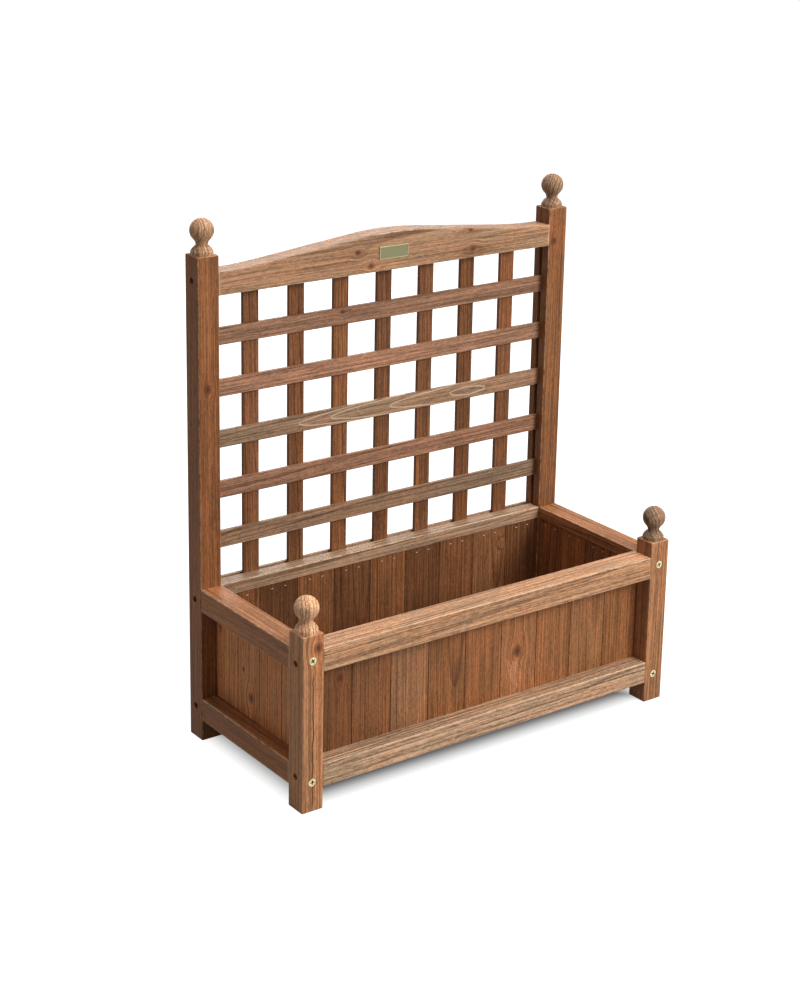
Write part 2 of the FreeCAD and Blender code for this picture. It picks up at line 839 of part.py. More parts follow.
def trellis_brad_places():
    """One brad at each crossing of the slats, driven from the rear."""
    face_y = number("upright_slat_y") + number("slat_thickness")
    for column in range(count("upright_slat_count")):
        x = number("upright_start_x") + column * number("upright_pitch") + number("upright_slat_width") / 2
        for row in range(count("cross_slat_count")):
            level = number("cross_start_z") + row * number("cross_pitch") + number("cross_slat_height") / 2
            yield Vector(x, face_y, level), RIGHT, REAR


def floor_brad_places():
    """One brad at each end of every floor board, driven down into the cleat."""
    top = number("floor_z") + number("floor_board_thickness")
    rows = (
        number("front_rail_back_y") + number("cleat_depth") / 2,
        number("rear_post_y") - number("cleat_depth") / 2,
    )
    for index in range(count("floor_board_count")):
        start = number("span_start_x") + number("floor_side_gap") + index * number("floor_board_pitch")
        for y in rows:
            yield Vector(start + number("floor_board_width") / 2, y, top), RIGHT, UP


doc.recompute()
brad_placements = [
    FreeCAD.Placement(place, FreeCAD.Rotation(along, ORIGIN, outward, "ZXY"))
    for places_of in (wall_brad_places, trellis_brad_places, floor_brad_places)
    for place, along, outward in places_of()
]
sub_parts["brads"] = set_group("brads", copies(brad, brad_placements))


# ---------------------------------------------------------------- holes for the fasteners

hole_solids = screw_bores + sub_parts["brads"].Shape.Solids


def drill(label, blank):
    """The piece with a hole wherever a screw or a brad enters it."""
    reach = blank.Shape.BoundBox
    entering = [solid for solid in hole_solids if reach.intersect(solid.BoundBox)]
    holes = set_group(label + "_holes", entering)
    drilled = doc.addObject("Part::Cut", label + "_drilled")
    drilled.Base = blank
    drilled.Tool = holes
    return drilled


for label, blank in wood.items():
    sub_parts[label] = drill(label, blank)
doc.recompute()


# ---------------------------------------------------------------- check and write

for item in doc.Objects:
    if "Invalid" in item.State or "Error" in item.State:
        raise RuntimeError(f"{item.Name} did not build: {item.State}")

os.makedirs("parts", exist_ok=True)
for label, sub_part in sub_parts.items():
    if sub_part.Shape.isNull() or not sub_part.Shape.isValid():
        raise RuntimeError(f"{label} has no valid shape")
for label, sub_part in sub_parts.items():
    sub_part.Label = label
    sub_part.Shape.exportStep(f"parts/{label}.step")
print(f"{len(sub_parts)} sub-parts, {sum(len(piece.Shape.Solids) for piece in sub_parts.values())} solids")
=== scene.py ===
# %% [markdown]
# # A planter with a trellis, dressed in Blender
# The real object is a small wooden trough on four square posts, with a trellis of thin slats
# between the two tall rear posts and an arched rail on top. Every wooden piece is stained fir;
# only the screws, the brads and a little plate are metal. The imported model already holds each
# piece at its true size, so this lesson keeps those meshes and gives them their finish: wood
# that looks cut from a log, with worn edges, brass and steel.

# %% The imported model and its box
import bpy
import numpy as np
from mathutils import Matrix, Vector


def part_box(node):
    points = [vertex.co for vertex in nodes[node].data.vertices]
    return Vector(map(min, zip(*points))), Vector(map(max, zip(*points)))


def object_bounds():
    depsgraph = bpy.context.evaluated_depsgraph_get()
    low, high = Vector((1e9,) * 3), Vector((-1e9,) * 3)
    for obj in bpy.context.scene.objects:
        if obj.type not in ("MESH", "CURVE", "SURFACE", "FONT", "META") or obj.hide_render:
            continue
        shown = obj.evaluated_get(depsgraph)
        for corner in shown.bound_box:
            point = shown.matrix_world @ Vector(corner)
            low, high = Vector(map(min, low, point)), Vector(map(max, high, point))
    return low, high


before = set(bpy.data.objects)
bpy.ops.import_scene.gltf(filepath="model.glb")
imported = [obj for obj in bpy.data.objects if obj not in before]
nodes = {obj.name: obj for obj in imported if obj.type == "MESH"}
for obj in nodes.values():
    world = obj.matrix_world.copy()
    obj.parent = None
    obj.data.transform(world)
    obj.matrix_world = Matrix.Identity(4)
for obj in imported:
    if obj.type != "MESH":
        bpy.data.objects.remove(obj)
scene = bpy.context.scene
cad_box = [list(corner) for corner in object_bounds()]
print(f"{len(nodes)} pieces in a box from {cad_box[0]} to {cad_box[1]}")

# %% [markdown]
# ## The camera
# The picture was taken from the front left and from above the arched rail, through a long lens
# that is shifted down a little. A camera can be aimed by eye, by a track-to constraint or by
# its matrix. The matrix is used here, because three directions and one place fix a camera that
# is turned and rolled, and nothing else has to be tuned.

# %% Camera
CAMERA_PLACE = Vector((-1.62763, -2.13468, 1.30759))
CAMERA_RIGHT = Vector((0.81004, -0.58612, 0.01733))
CAMERA_UP = Vector((0.14616, 0.23044, 0.96205))
SENSOR_WIDTH = 36.0
LENS = 72.914
SHIFT = -0.15


def aimed(place, right, up):
    """The matrix of an object at a place, whose X is right, Y is up and Z points backwards."""
    back = right.cross(up).normalized()
    upright = back.cross(right).normalized()
    turn = Matrix((right.normalized(), upright, back)).transposed()
    return Matrix.Translation(place) @ turn.to_4x4()


camera = bpy.data.objects.new("camera", bpy.data.cameras.new("camera"))
scene.collection.objects.link(camera)
camera.matrix_world = aimed(CAMERA_PLACE, CAMERA_RIGHT, CAMERA_UP)
camera.data.sensor_width = SENSOR_WIDTH
camera.data.lens = LENS
camera.data.shift_y = SHIFT
scene.camera = camera
print(f"camera {CAMERA_PLACE.length:.2f} m from the planter's foot, lens {LENS:.0f} mm")

# %% [markdown]
# ## Helpers for shader trees
# A finish is a tree of small steps. Its nodes can be placed by hand in the editor or made in
# code. In code, a few short helpers keep every later step on one line: feed sets or links a
# socket, node makes a step with its settings, and the others are sums and patterns that every
# finish below needs.

# %% Helpers: sockets and nodes
def feed(tree, value, socket):
    """Gives a socket its value: a link if the value is another socket, else a constant."""
    if isinstance(value, bpy.types.NodeSocket):
        tree.links.new(value, socket)
    else:
        socket.default_value = value


def node(tree, kind, settings=None, **inputs):
    """A new node with its settings and inputs; an input's underscores stand for spaces."""
    made = tree.nodes.new(kind)
    for name, value in (settings or {}).items():
        setattr(made, name, value)
    for name, value in inputs.items():
        feed(tree, value, made.inputs[name.replace("_", " ")])
    return made


def new_group(name, inputs, outputs):
    """An empty shader group; each input is (name, kind, value), each output (name, kind)."""
    group = bpy.data.node_groups.new(name, "ShaderNodeTree")
    for label, kind, value in inputs:
        socket = group.interface.new_socket(label, in_out="INPUT", socket_type="NodeSocket" + kind)
        socket.default_value = value
    for label, kind in outputs:
        group.interface.new_socket(label, in_out="OUTPUT", socket_type="NodeSocket" + kind)
    entry = group.nodes.new("NodeGroupInput").outputs
    leave = group.nodes.new("NodeGroupOutput").inputs
    return group, entry, leave


# %% Helpers: sums
def maths(tree, operation, *values, clamp=False):
    """One sum on numbers."""
    made = node(tree, "ShaderNodeMath", {"operation": operation, "use_clamp": clamp})
    for value, socket in zip(values, made.inputs):
        feed(tree, value, socket)
    return made.outputs[0]


def vectors(tree, operation, *values):
    """One sum on vectors; lengths come out of the second output."""
    made = node(tree, "ShaderNodeVectorMath", {"operation": operation})
    for value, socket in zip(values, made.inputs):
        feed(tree, value, socket)
    return made.outputs["Value" if operation == "LENGTH" else "Vector"]


def scaled(tree, vector, factor):
    """A vector times a number."""
    made = node(tree, "ShaderNodeVectorMath", {"operation": "SCALE"}, Scale=factor)
    feed(tree, vector, made.inputs[0])
    return made.outputs["Vector"]


def numbers(tree, vector):
    """The three numbers of a vector."""
    return node(tree, "ShaderNodeSeparateXYZ", None, Vector=vector).outputs


def hypotenuse(tree, one, two):
    """The square root of the sum of two squares."""
    squares = (maths(tree, "POWER", side, 2.0) for side in (one, two))
    return maths(tree, "SQRT", maths(tree, "ADD", *squares))


# %% Helpers: patterns and colours
def smooth(tree, value, low, high, start=0.0, end=1.0):
    """A soft step from start to end as the value goes from low to high."""
    made = node(tree, "ShaderNodeMapRange", {"interpolation_type": "SMOOTHSTEP"},
                Value=value, From_Min=low, From_Max=high, To_Min=start, To_Max=end)
    return made.outputs["Result"]


def cloud(tree, vector, scale, detail=2.0, rough=0.5):
    """Soft noise from 0 to 1, with its middle at a half."""
    return node(tree, "ShaderNodeTexNoise", None, Vector=vector, Scale=scale, Detail=detail,
                Roughness=rough).outputs["Fac"]


def waver(tree, number, scale, detail):
    """Soft noise that follows one number only."""
    return node(tree, "ShaderNodeTexNoise", {"noise_dimensions": "1D"}, W=number, Scale=scale,
                Detail=detail).outputs["Fac"]


def blended(tree, factor, first, second, way="MIX"):
    """Two colours mixed."""
    made = node(tree, "ShaderNodeMix", {"data_type": "RGBA", "blend_type": way})
    feed(tree, factor, made.inputs["Factor"])
    feed(tree, first, made.inputs["A"])
    feed(tree, second, made.inputs["B"])
    return made.outputs["Result"]


def grey(tree, value):
    """A grey of that value, to multiply a colour by."""
    return node(tree, "ShaderNodeCombineColor", None, Red=value, Green=value,
                Blue=value).outputs[0]


# %% [markdown]
# ## Knots
# A knot is where a branch left the trunk. The years of the trunk part and flow round it. A
# painted spot would leave the lines running straight through; here the wood near the knot is
# looked up nearer to its middle, as through a magnifying glass, so the lines part by
# themselves, and the place of the branch gets its own small rings.

# %% Group: knot
FAR_AWAY = (9, 9, 9)
KNOT_SHAPE = (0.8, 1.0, 1.0)
FLAME_SHAPE = (0.22, 0.8, 0.8)
KNOT_PULL = 0.8
PULL_SPANS = (0.3, 3.4)
FLAME_SPANS = (0.5, 2.0)


def build_knot():
    """Span is the distance to the knot over its radius. The push, which fades with the span,
    is what has to be taken from a position so that lines flow round the knot. The flame is
    the redder wood round a knot, long with the grain. Both shapes are squeezes of the space
    along the grain and across it: the smaller the first number, the longer the shape."""
    group, given, out = new_group("knot", [
        ("Position", "Vector", (0, 0, 0)),
        ("Place", "Vector", FAR_AWAY),
        ("Radius", "Float", 0.004),
    ], [("Push", "Vector"), ("Span", "Float"), ("Flame", "Float")])
    apart = vectors(group, "SUBTRACT", given["Position"], given["Place"])

    def over_radius(shape):
        """The distance to the knot in a squeezed space, over the knot's radius."""
        far = vectors(group, "LENGTH", vectors(group, "MULTIPLY", apart, shape))
        return maths(group, "DIVIDE", far, given["Radius"])

    span = over_radius(KNOT_SHAPE)
    pull = smooth(group, span, *PULL_SPANS, KNOT_PULL, 0.0)
    feed(group, scaled(group, apart, pull), out["Push"])
    feed(group, span, out["Span"])
    feed(group, smooth(group, over_radius(FLAME_SHAPE), *FLAME_SPANS, 1.0, 0.0), out["Flame"])
    return group


KNOT = build_knot()
print(f"{KNOT.name}: {len(KNOT.nodes)} steps")

# %% [markdown]
# ## Drying cracks, pale loops and bare patches
# A thick square post splits a little as it dries, in one long thin line. Where a slat is cut
# almost along a year, the year shows as loops that come to a point, outlined in pale wood
# that took no stain, and on one plank a patch under a knot took little of it. All three could
# be left to the grain's rings and noise, but the photograph shows them in fixed places, so
# each has a small group of its own, with a place.

# %% Group: crack
CRACK_WAVER = 28.0
CRACK_STRAY = 0.006
CRACK_SIDES = (0.5, 1.6)
CRACK_ENDS = (0.8, 1.0)


def build_crack():
    """A thin line along the grain through a place, wavering, as long each way as given."""
    group, given, out = new_group("crack", [
        ("Position", "Vector", (0, 0, 0)),
        ("Place", "Vector", FAR_AWAY),
        ("Width", "Float", 0.0009),
        ("Length", "Float", 0.1),
    ], [("Crack", "Float")])
    apart = vectors(group, "SUBTRACT", given["Position"], given["Place"])
    along, one, two = numbers(group, apart)
    strayed = maths(group, "MULTIPLY_ADD", waver(group, along, CRACK_WAVER, 3.0), CRACK_STRAY,
                    -CRACK_STRAY / 2)
    sideways = hypotenuse(group, one, maths(group, "ADD", two, strayed))
    thin = smooth(group, maths(group, "DIVIDE", sideways, given["Width"]), *CRACK_SIDES, 1.0, 0.0)
    reach = maths(group, "DIVIDE", maths(group, "ABSOLUTE", along), given["Length"])
    feed(group, maths(group, "MULTIPLY", thin, smooth(group, reach, *CRACK_ENDS, 1.0, 0.0)),
         out["Crack"])
    return group


# %% Group: loops
LOOP_LEVELS = (1.0, 4.4, 7.6, 9.3)
LOOP_LINE = (0.0005, 0.0014)
LOOP_WAVE = 0.004
WAVE_STRETCH = (20.0, 60.0, 60.0)
LOOP_END = (0.032, 0.040)


def build_loops():
    """Nested pointed loops, |u| + v squared = a level, with u and v from the middle over the
    size of the inner loop. What is left of a level, over its slope, is the distance in metres
    to that loop, so that the pale line is equally thin all along. The outer loops are seen on
    one side of the middle only."""
    group, given, out = new_group("pale_loops", [
        ("Position", "Vector", (0, 0, 0)),
        ("Place", "Vector", FAR_AWAY),
        ("Half Length", "Float", 0.032),
        ("Half Height", "Float", 0.0065),
    ], [("Line", "Float")])
    bend = cloud(group, vectors(group, "MULTIPLY", given["Position"], WAVE_STRETCH), 1.0)
    coordinates = numbers(group, vectors(group, "SUBTRACT", given["Position"], given["Place"]))
    along, up = coordinates["X"], coordinates["Z"]
    u = maths(group, "ABSOLUTE", maths(group, "DIVIDE", along, given["Half Length"]))
    v = maths(group, "DIVIDE", maths(group, "MULTIPLY_ADD", bend, LOOP_WAVE, maths(
        group, "SUBTRACT", up, LOOP_WAVE / 2)), given["Half Height"])
    level = maths(group, "ADD", u, maths(group, "MULTIPLY", v, v))
    steep = maths(group, "DIVIDE", maths(group, "MULTIPLY", v, 2.0), given["Half Height"])
    slope = hypotenuse(group, steep, maths(group, "DIVIDE", 1.0, given["Half Length"]))
    line = 0.0
    for loop in LOOP_LEVELS:
        off = maths(group, "ABSOLUTE", maths(group, "SUBTRACT", level, loop))
        far = maths(group, "DIVIDE", off, slope)
        line = maths(group, "MAXIMUM", smooth(group, far, *LOOP_LINE, 1.0, 0.0), line)
    one_side = smooth(group, along, *LOOP_END, 1.0, 0.0)
    feed(group, maths(group, "MULTIPLY", line, one_side), out["Line"])
    return group


# %% Group: bare patch
PATCH_SHAPE = (0.75, 1.3, 1.3)
PATCH_STREAKS = (60.0, 330.0, 330.0)
PATCH_RAGGED = 3.0
PATCH_RIM = (0.45, 1.0)


def build_patch():
    """A ragged spot that took little stain: the distance to a place over its size, with noise
    that is long with the grain added, cut off near 1."""
    group, given, out = new_group("bare_patch", [
        ("Position", "Vector", (0, 0, 0)),
        ("Place", "Vector", FAR_AWAY),
        ("Size", "Float", 0.017),
    ], [("Bare", "Float")])
    apart = vectors(group, "SUBTRACT", given["Position"], given["Place"])
    far = vectors(group, "LENGTH", vectors(group, "MULTIPLY", apart, PATCH_SHAPE))
    ragged = cloud(group, vectors(group, "MULTIPLY", given["Position"], PATCH_STREAKS), 1.0,
                   3.0, 0.6)
    level = maths(group, "MULTIPLY_ADD", maths(group, "SUBTRACT", ragged, 0.5), PATCH_RAGGED,
                  maths(group, "DIVIDE", far, given["Size"]))
    feed(group, smooth(group, level, *PATCH_RIM, 1.0, 0.0), out["Bare"])
    return group


CRACK, LOOPS, PATCH = build_crack(), build_loops(), build_patch()
print(f"{CRACK.name}, {LOOPS.name} and {PATCH.name} made")

# %% [markdown]
# ## Grain
# A log is a stack of thin cones: each year adds a pale soft layer that ends in a thin dark
# hard line. A board shows where its faces cut that stack. A stretched noise looks like wood
# only from far off; rings round a pith line look like it from every side, because the lines
# on one face meet the lines on the next. So this group measures the distance of a point from
# a pith line that runs beside the board, lets it wander along the grain, and cuts it into
# years. Long hairs and short flecks, which sawing and brushing leave, lie over them.

# %% Group: fir grain
# How often each noise changes in a metre along and across the grain, its detail, its roughness.
NOISES = {
    "sway": (3.0, 16.0, 2.0, 0.55),
    "ripple": (14.0, 90.0, 1.0, 0.55),
    "hair": (5.0, 520.0, 2.0, 0.6),
    "fleck": (120.0, 560.0, 2.0, 0.55),
    "burr": (520.0, 420.0, 1.0, 0.55),
    "pore": (45.0, 900.0, 1.0, 0.55),
    "drift": (2.2, 13.0, 3.0, 0.55),
    "blotch": (16.0, 62.0, 4.0, 0.65),
}
FIBRE_SHARES = {"hair": 0.53, "fleck": 0.30, "burr": 0.17}
NO_KNOT = 99.0
SEED_SHIFT = (1.7, 2.3, 3.1)
RIPPLE_SHARE = 0.10
YEAR_WAVER, YEAR_UNEVEN = 0.35, 2.4
KNOT_RAGGED = 0.9
HEART_SPANS, HEART_RINGS = (0.75, 1.1), 2.6
KNOT_SPANS = (0.2, 1.3)
LINE_RISE, LINE_FALL = (0.42, 0.88), (0.93, 1.0)
FAINTEST_LINE = 0.25
PORE_STEP, PORE_SHADE, PORE_DEPTH = (0.60, 0.74), -0.12, -0.5
LINE_RELIEF = 0.6


def build_grain():
    """Years are the distance from the pith plus wander, over the ring width; the fraction of
    a year gives the dark line, stronger in some years. Grain runs along the group's X."""
    group, given, out = new_group("fir_grain", [
        ("Position", "Vector", (0, 0, 0)),
        ("Seed", "Float", 0.0),
        ("Pith", "Vector", (0, 0.03, 0.02)),
        ("Ring Width", "Float", 0.003),
        ("Wander", "Float", 0.006),
        ("Lean", "Float", 0.01),
        ("Knot Span", "Float", NO_KNOT),
    ], [("Latewood", "Float"), ("Fibre", "Float"), ("Knot", "Float"),
        ("Drift", "Float"), ("Blotch", "Float"), ("Height", "Float")])
    place, seed = given["Position"], given["Seed"]
    shift = vectors(group, "MULTIPLY", SEED_SHIFT, node(
        group, "ShaderNodeCombineXYZ", None, X=seed, Y=seed, Z=seed).outputs[0])
    moved = vectors(group, "ADD", place, shift)

    def noise(name):
        """One of the noises that are stretched with the grain."""
        along, across, detail, rough = NOISES[name]
        stretched = vectors(group, "MULTIPLY", moved, (along, across, across))
        return cloud(group, stretched, 1.0, detail, rough)

    # The distance from the pith, counted in years of uneven width.
    sway = maths(group, "SUBTRACT", noise("sway"), 0.5)
    ripple = maths(group, "SUBTRACT", noise("ripple"), 0.5)
    from_pith = numbers(group, vectors(group, "SUBTRACT", place, given["Pith"]))
    radius = hypotenuse(group, from_pith["Y"], from_pith["Z"])
    leaning = maths(group, "MULTIPLY_ADD", from_pith["X"], given["Lean"], radius)
    swayed = maths(group, "MULTIPLY_ADD", maths(group, "MULTIPLY_ADD", ripple, RIPPLE_SHARE, sway),
                   given["Wander"], leaning)
    even_years = maths(group, "DIVIDE", swayed, given["Ring Width"])
    uneven = waver(group, maths(group, "ADD", even_years, seed), YEAR_WAVER, 1.0)
    years = maths(group, "MULTIPLY_ADD", uneven, YEAR_UNEVEN, even_years)

    # Inside a knot the branch's own rings take over.
    rough_span = maths(group, "MULTIPLY_ADD", ripple, KNOT_RAGGED, given["Knot Span"])
    heart = smooth(group, rough_span, *HEART_SPANS, 1.0, 0.0)
    rings = node(group, "ShaderNodeMix", None, Factor=heart, A=years,
                 B=maths(group, "MULTIPLY", rough_span, HEART_RINGS)).outputs[0]

    # The dark line rises slowly through the year and stops sharply at its end.
    season = maths(group, "FRACT", rings)
    line = maths(group, "MULTIPLY", smooth(group, season, *LINE_RISE),
                 smooth(group, season, *LINE_FALL, 1.0, 0.0))
    strength = node(group, "ShaderNodeTexWhiteNoise", {"noise_dimensions": "1D"},
                    W=maths(group, "FLOOR", rings)).outputs["Value"]
    late = maths(group, "MULTIPLY", line, maths(
        group, "MULTIPLY_ADD", strength, 1.0 - FAINTEST_LINE, FAINTEST_LINE))

    # Hairs, flecks and burr add up to the fibres; pores are dark and deep.
    pores = smooth(group, noise("pore"), *PORE_STEP)
    burred = maths(group, "MULTIPLY", noise("burr"), FIBRE_SHARES["burr"])
    flecked = maths(group, "MULTIPLY_ADD", noise("fleck"), FIBRE_SHARES["fleck"], burred)
    fibres = maths(group, "MULTIPLY_ADD", noise("hair"), FIBRE_SHARES["hair"], flecked)
    relief = maths(group, "MULTIPLY_ADD", late, LINE_RELIEF, fibres)
    feed(group, late, out["Latewood"])
    feed(group, maths(group, "MULTIPLY_ADD", pores, PORE_SHADE, fibres), out["Fibre"])
    feed(group, smooth(group, rough_span, *KNOT_SPANS, 1.0, 0.0), out["Knot"])
    feed(group, noise("drift"), out["Drift"])
    feed(group, noise("blotch"), out["Blotch"])
    feed(group, maths(group, "MULTIPLY_ADD", pores, PORE_DEPTH, relief), out["Height"])
    return group


GRAIN = build_grain()
print(f"{GRAIN.name}: {len(GRAIN.nodes)} steps")

# %% [markdown]
# ## Edges
# Handling and sanding take the stain off the edges of posts and rails, so every arris shows
# a thin pale broken line, and dirt settles along the joints of the planks. A bevel node can
# find edges, but it is slow and doesn't bake well. These pieces are all boards, so the
# distance to a board's edge can be worked out: of the three distances to the nearest pair of
# faces, the middle one is the distance to the nearest edge.

# %% Group: edges
EDGE_NOISE = 95.0
EDGE_RAGGED = 2.6
EDGE_FADE = (0.35, 1.15)


def build_edges():
    """The middle one of the three distances to the faces of a box, broken by noise."""
    group, given, out = new_group("edges", [
        ("Position", "Vector", (0, 0, 0)),
        ("Low Corner", "Vector", (0, 0, 0)),
        ("High Corner", "Vector", (1, 1, 1)),
        ("Width", "Float", 0.0015),
    ], [("Edge", "Float")])
    place = given["Position"]
    inside = vectors(group, "MINIMUM", vectors(group, "SUBTRACT", place, given["Low Corner"]),
                     vectors(group, "SUBTRACT", given["High Corner"], place))
    one, two, three = numbers(group, inside)
    least = maths(group, "MINIMUM", one, two)
    most = maths(group, "MAXIMUM", one, two)
    middle = maths(group, "MAXIMUM", least, maths(group, "MINIMUM", most, three))
    rough = maths(group, "SUBTRACT", cloud(group, place, EDGE_NOISE, 3.0, 0.6), 0.5)
    ragged = maths(group, "MULTIPLY_ADD", maths(group, "MULTIPLY", rough, given["Width"]),
                   EDGE_RAGGED, middle)
    near = maths(group, "DIVIDE", ragged, given["Width"])
    feed(group, smooth(group, near, *EDGE_FADE, 1.0, 0.0), out["Edge"])
    return group


EDGES = build_edges()
print(f"{EDGES.name}: {len(EDGES.nodes)} steps")

# %% [markdown]
# ## Stain
# The boards were heated and stained a reddish brown, and no two took it alike. One flat brown
# under a picture of lines would look printed. Here the colour of a point is the pale layer of
# its year, darkened towards the hard line, streaked by fibres and drifting slowly between a
# redder and a greyer brown along the board. The marks are laid over that, one by one.

# %% Group: brown stain
BARE_WOOD = (0.50, 0.215, 0.105, 1)
KNOT_BROWN = (0.060, 0.020, 0.009, 1)
LOOP_CREAM = (0.60, 0.44, 0.30, 1)
CRACK_BLACK = (0.035, 0.013, 0.006, 1)
COVER = {"Bare": 0.85, "Knot": 0.88, "Pale Line": 0.65, "Edge": 0.7, "Crack": 0.9}
BLOTCH_SHARE, DRIFT_SHARE = 0.45, 0.55
WARM_STEP, WARMEST = (0.42, 0.62), 0.75
STREAK_STEP = (0.32, 0.68)
DRIFT_SHADE = (0.3, 0.7, 0.87, 1.13)
BLOTCH_SHADE = (0.34, 0.66, 0.88, 1.12)
WOOD_ROUGHNESS, FIBRE_ROUGHNESS, LINE_ROUGHNESS = 0.52, 0.16, -0.12


def build_stain():
    """Pale wood mixed to dark by the year's line and the fibres, tinted by slow drift."""
    group, given, out = new_group("brown_stain", [
        ("Early Colour", "Color", (0.4, 0.2, 0.1, 1)),
        ("Late Colour", "Color", (0.2, 0.08, 0.04, 1)),
        ("Warm Colour", "Color", (0.42, 0.15, 0.07, 1)),
        ("Edge Colour", "Color", (0.6, 0.4, 0.25, 1)),
        ("Latewood", "Float", 0.0),
        ("Line Strength", "Float", 0.85),
        ("Fibre", "Float", 0.5),
        ("Grit", "Float", 0.4),
        ("Knot", "Float", 0.0),
        ("Flame", "Float", 0.0),
        ("Drift", "Float", 0.5),
        ("Blotch", "Float", 0.5),
        ("Edge", "Float", 0.0),
        ("Pale Line", "Float", 0.0),
        ("Bare", "Float", 0.0),
        ("Crack", "Float", 0.0),
    ], [("Color", "Color"), ("Roughness", "Float")])

    def marked(under, mark, colour):
        """A colour laid over another where a mark is, as strongly as that mark covers."""
        amount = maths(group, "MULTIPLY", given[mark], COVER[mark])
        return blended(group, amount, under, colour)

    tinted = maths(group, "MULTIPLY_ADD", given["Blotch"], BLOTCH_SHARE, maths(
        group, "MULTIPLY", given["Drift"], DRIFT_SHARE))
    warm = smooth(group, tinted, *WARM_STEP, 0.0, WARMEST)
    warmer = maths(group, "MAXIMUM", warm, given["Flame"])
    stained = blended(group, warmer, given["Early Colour"], given["Warm Colour"])
    base = marked(stained, "Bare", BARE_WOOD)
    lined = blended(group, maths(group, "MULTIPLY", given["Latewood"], given["Line Strength"]),
                    base, given["Late Colour"])
    streak = smooth(group, given["Fibre"], *STREAK_STEP, -1.0, 1.0)
    streaked = blended(group, 1.0, lined, grey(
        group, maths(group, "MULTIPLY_ADD", streak, given["Grit"], 1.0)), "MULTIPLY")
    shade = maths(group, "MULTIPLY", smooth(group, given["Drift"], *DRIFT_SHADE),
                  smooth(group, given["Blotch"], *BLOTCH_SHADE))
    drifted = blended(group, 1.0, streaked, grey(group, shade), "MULTIPLY")
    knotted = marked(drifted, "Knot", KNOT_BROWN)
    looped = marked(knotted, "Pale Line", LOOP_CREAM)
    edged = marked(looped, "Edge", given["Edge Colour"])
    feed(group, marked(edged, "Crack", CRACK_BLACK), out["Color"])
    feed(group, maths(group, "MULTIPLY_ADD", given["Latewood"], LINE_ROUGHNESS, maths(
        group, "MULTIPLY_ADD", given["Fibre"], FIBRE_ROUGHNESS, WOOD_ROUGHNESS), clamp=True),
         out["Roughness"])
    return group


STAIN = build_stain()
print(f"{STAIN.name}: {len(STAIN.nodes)} steps")

# %% [markdown]
# ## Tones of the boards
# The maker cut the pieces from different boards, so each has its own tone. Every piece could
# be given three colours of its own, but a few named tones and a strength for each piece say
# the same with less. A tone is three colours: the pale layer of a year, its dark line, and
# the warm tint that it drifts towards. Edges are pale where they are worn and dark where
# dirt settles.

# %% Tones
TONES = {
    "tan": ((0.455, 0.268, 0.152), (0.205, 0.100, 0.050), (0.420, 0.200, 0.098)),
    "drift": ((0.410, 0.262, 0.160), (0.185, 0.100, 0.056), (0.370, 0.190, 0.107)),
    "rose": ((0.360, 0.187, 0.110), (0.160, 0.076, 0.041), (0.360, 0.170, 0.097)),
    "amber": ((0.430, 0.205, 0.094), (0.185, 0.074, 0.028), (0.440, 0.170, 0.070)),
    "russet": ((0.385, 0.165, 0.066), (0.180, 0.062, 0.022), (0.400, 0.150, 0.057)),
    "chestnut": ((0.275, 0.112, 0.042), (0.125, 0.042, 0.0145), (0.288, 0.103, 0.037)),
    "umber": ((0.205, 0.084, 0.034), (0.097, 0.034, 0.0135), (0.225, 0.081, 0.030)),
}
PALE_EDGE = (0.62, 0.42, 0.27, 1.0)
POST_EDGE = (0.50, 0.29, 0.17, 1.0)
SLAT_EDGE = (0.16, 0.075, 0.038, 1.0)
DIRTY_JOINT = (0.080, 0.032, 0.013, 1.0)

# %% Helpers: materials
QUARTER_TURN = np.pi / 2
GRAIN_TURNS = {"X": (0.0, 0.0, 0.0), "Y": (0.0, 0.0, -QUARTER_TURN), "Z": (0.0, QUARTER_TURN, 0.0)}
GRAIN_MATRICES = {
    "X": Matrix.Identity(3),
    "Y": Matrix.Rotation(-QUARTER_TURN, 3, "Z"),
    "Z": Matrix.Rotation(QUARTER_TURN, 3, "Y"),
}


def use_group(tree, group, **inputs):
    """The outputs of one group placed in a material with its own values."""
    made = tree.nodes.new("ShaderNodeGroup")
    made.node_tree = group
    for name, value in inputs.items():
        feed(tree, value, made.inputs[name.replace("_", " ")])
    return made.outputs


def new_material(name):
    """A material with a Principled shader, and the place of each point on its object."""
    material = bpy.data.materials.new(name)
    material.use_nodes = True
    tree = material.node_tree
    shader = tree.nodes["Principled BSDF"]
    place = node(tree, "ShaderNodeTexCoord").outputs["Object"]
    return material, tree, shader, place


def dress(piece, material):
    """Puts one material on every slot of a piece."""
    slots = piece.data.materials
    for index in range(max(len(slots), 1)):
        if index < len(slots):
            slots[index] = material
        else:
            slots.append(material)


def along_grain(axis, middle, point):
    """A point of the piece as its grain sees it: from the middle, with X along the grain."""
    return GRAIN_MATRICES[axis].inverted() @ (Vector(point) - middle)


# %% Stained fir
WOOD_GLOSS = 0.13
WOOD_RELIEF, RELIEF_STRENGTH = 0.0005, 0.6


